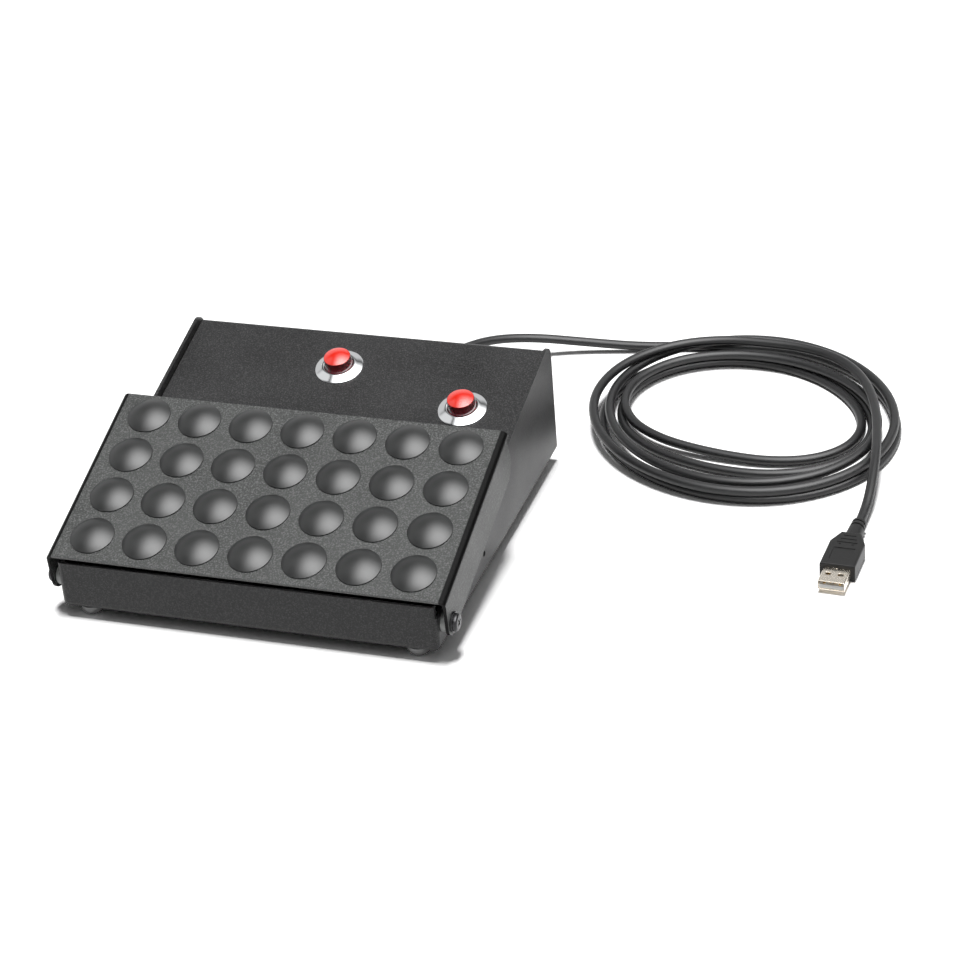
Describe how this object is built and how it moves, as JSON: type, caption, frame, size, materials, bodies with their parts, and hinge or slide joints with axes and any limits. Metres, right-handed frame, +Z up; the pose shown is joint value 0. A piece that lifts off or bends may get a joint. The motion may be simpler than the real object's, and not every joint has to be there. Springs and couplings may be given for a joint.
{
  "type": "foot controller",
  "caption": "Wedge-shaped steel foot controller with a hinged, rubber-studded pedal, two red push buttons and a coiled cable.",
  "frame": {"origin": "on the floor under the middle of the housing, the cable and its gland left out", "axes": "+X to the user's right, +Y from the pedal's hinge towards the cable side, +Z up"},
  "size_m": [0.3423, 0.2991, 0.0624],
  "materials": {
    "housing_coat": "fine textured black powder coat, satin",
    "pedal_coat": "fine grained dark grey powder coat, satin",
    "stud_rubber": "smooth satin black rubber",
    "foot_rubber": "glossy black rubber",
    "black_steel": "blackened steel, satin",
    "zinc_steel": "bright zinc plate",
    "white_nylon": "natural nylon, satin",
    "bezel_chrome": "polished chrome plate",
    "cap_red": "glossy red, slightly translucent",
    "cable_jacket": "satin black cable jacket",
    "plug_black": "satin moulded black",
    "shell_nickel": "warm nickel plate",
    "contact_gold": "gold flash",
    "tongue_plastic": "white insulator",
    "bush_nylon": "black nylon, satin",
    "switch_plastic": "black moulded plastic",
    "board_laminate": "green solder mask",
    "chip_plastic": "black moulded package",
    "header_plastic": "cream moulded plastic"
  },
  "bodies": {
    "root": {"base_tray": "housing_coat", "top_cover": "housing_coat", "cover_screws": "black_steel", "feet": "foot_rubber", "pivot_screws": "black_steel", "pivot_washers": "bush_nylon", "pivot_spacers": "white_nylon", "pivot_nuts": "zinc_steel", "bump_stops": "foot_rubber", "rod_guide_bush": "bush_nylon", "bush_nut": "zinc_steel", "return_spring": "zinc_steel", "slide_pot_body": "switch_plastic", "sensor_bracket": "zinc_steel", "bracket_screws": "zinc_steel", "circuit_board": "board_laminate", "board_chip": "chip_plastic", "board_headers": "header_plastic", "board_standoffs": "zinc_steel", "board_screws": "zinc_steel", "cable_gland": "plug_black", "gland_nut": "bush_nylon", "cable_inner_lead": "cable_jacket", "usb_cable_lead": "cable_jacket", "usb_cable_coil": "cable_jacket", "usb_cable_tail": "cable_jacket", "usb_plug_body": "plug_black", "usb_plug_shell": "shell_nickel", "usb_plug_tongue": "tongue_plastic", "usb_plug_contacts": "contact_gold", "left_button_bezel": "bezel_chrome", "left_button_nut": "zinc_steel", "left_button_spring": "zinc_steel", "left_button_switch": "switch_plastic", "left_switch_terminals": "contact_gold", "right_button_bezel": "bezel_chrome", "right_button_nut": "zinc_steel", "right_button_spring": "zinc_steel", "right_button_switch": "switch_plastic", "right_switch_terminals": "contact_gold"},
    "pedal": {"pedal_plate": "pedal_coat", "grip_studs": "stud_rubber"},
    "push_rod": {"push_rod": "zinc_steel", "rod_collar": "zinc_steel", "slide_pot_lever": "header_plastic"},
    "left_cap": {"left_button_cap": "cap_red"},
    "right_cap": {"right_button_cap": "cap_red"}
  },
  "joints": [
    {"name": "pedal_hinge", "type": "hinge", "parent": "root", "child": "pedal", "pos_m": [0, -0.0788, 0.017], "axis": [-1, 0, 0], "range_deg": [0, 8], "stiffness_Nm_per_rad": 10, "springref_deg": -2.86},
    {"name": "push_rod_slide", "type": "slide", "parent": "root", "child": "push_rod", "axis": [0, 0.2396, -0.9709], "range_m": [0, 0.0098], "deforming": ["return_spring"]},
    {"name": "left_button_travel", "type": "slide", "parent": "root", "child": "left_cap", "axis": [0, 0.2396, -0.9709], "range_m": [0, 0.0025], "stiffness_N_per_m": 300, "springref_m": -0.002, "deforming": ["left_button_spring"]},
    {"name": "right_button_travel", "type": "slide", "parent": "root", "child": "right_cap", "axis": [0, 0.2396, -0.9709], "range_m": [0, 0.0025], "stiffness_N_per_m": 300, "springref_m": -0.002, "deforming": ["right_button_spring"]}
  ],
  "couplings": [
    {"joint": "push_rod_slide", "follows": "pedal_hinge", "m_per_rad": 0.07012}
  ]
}
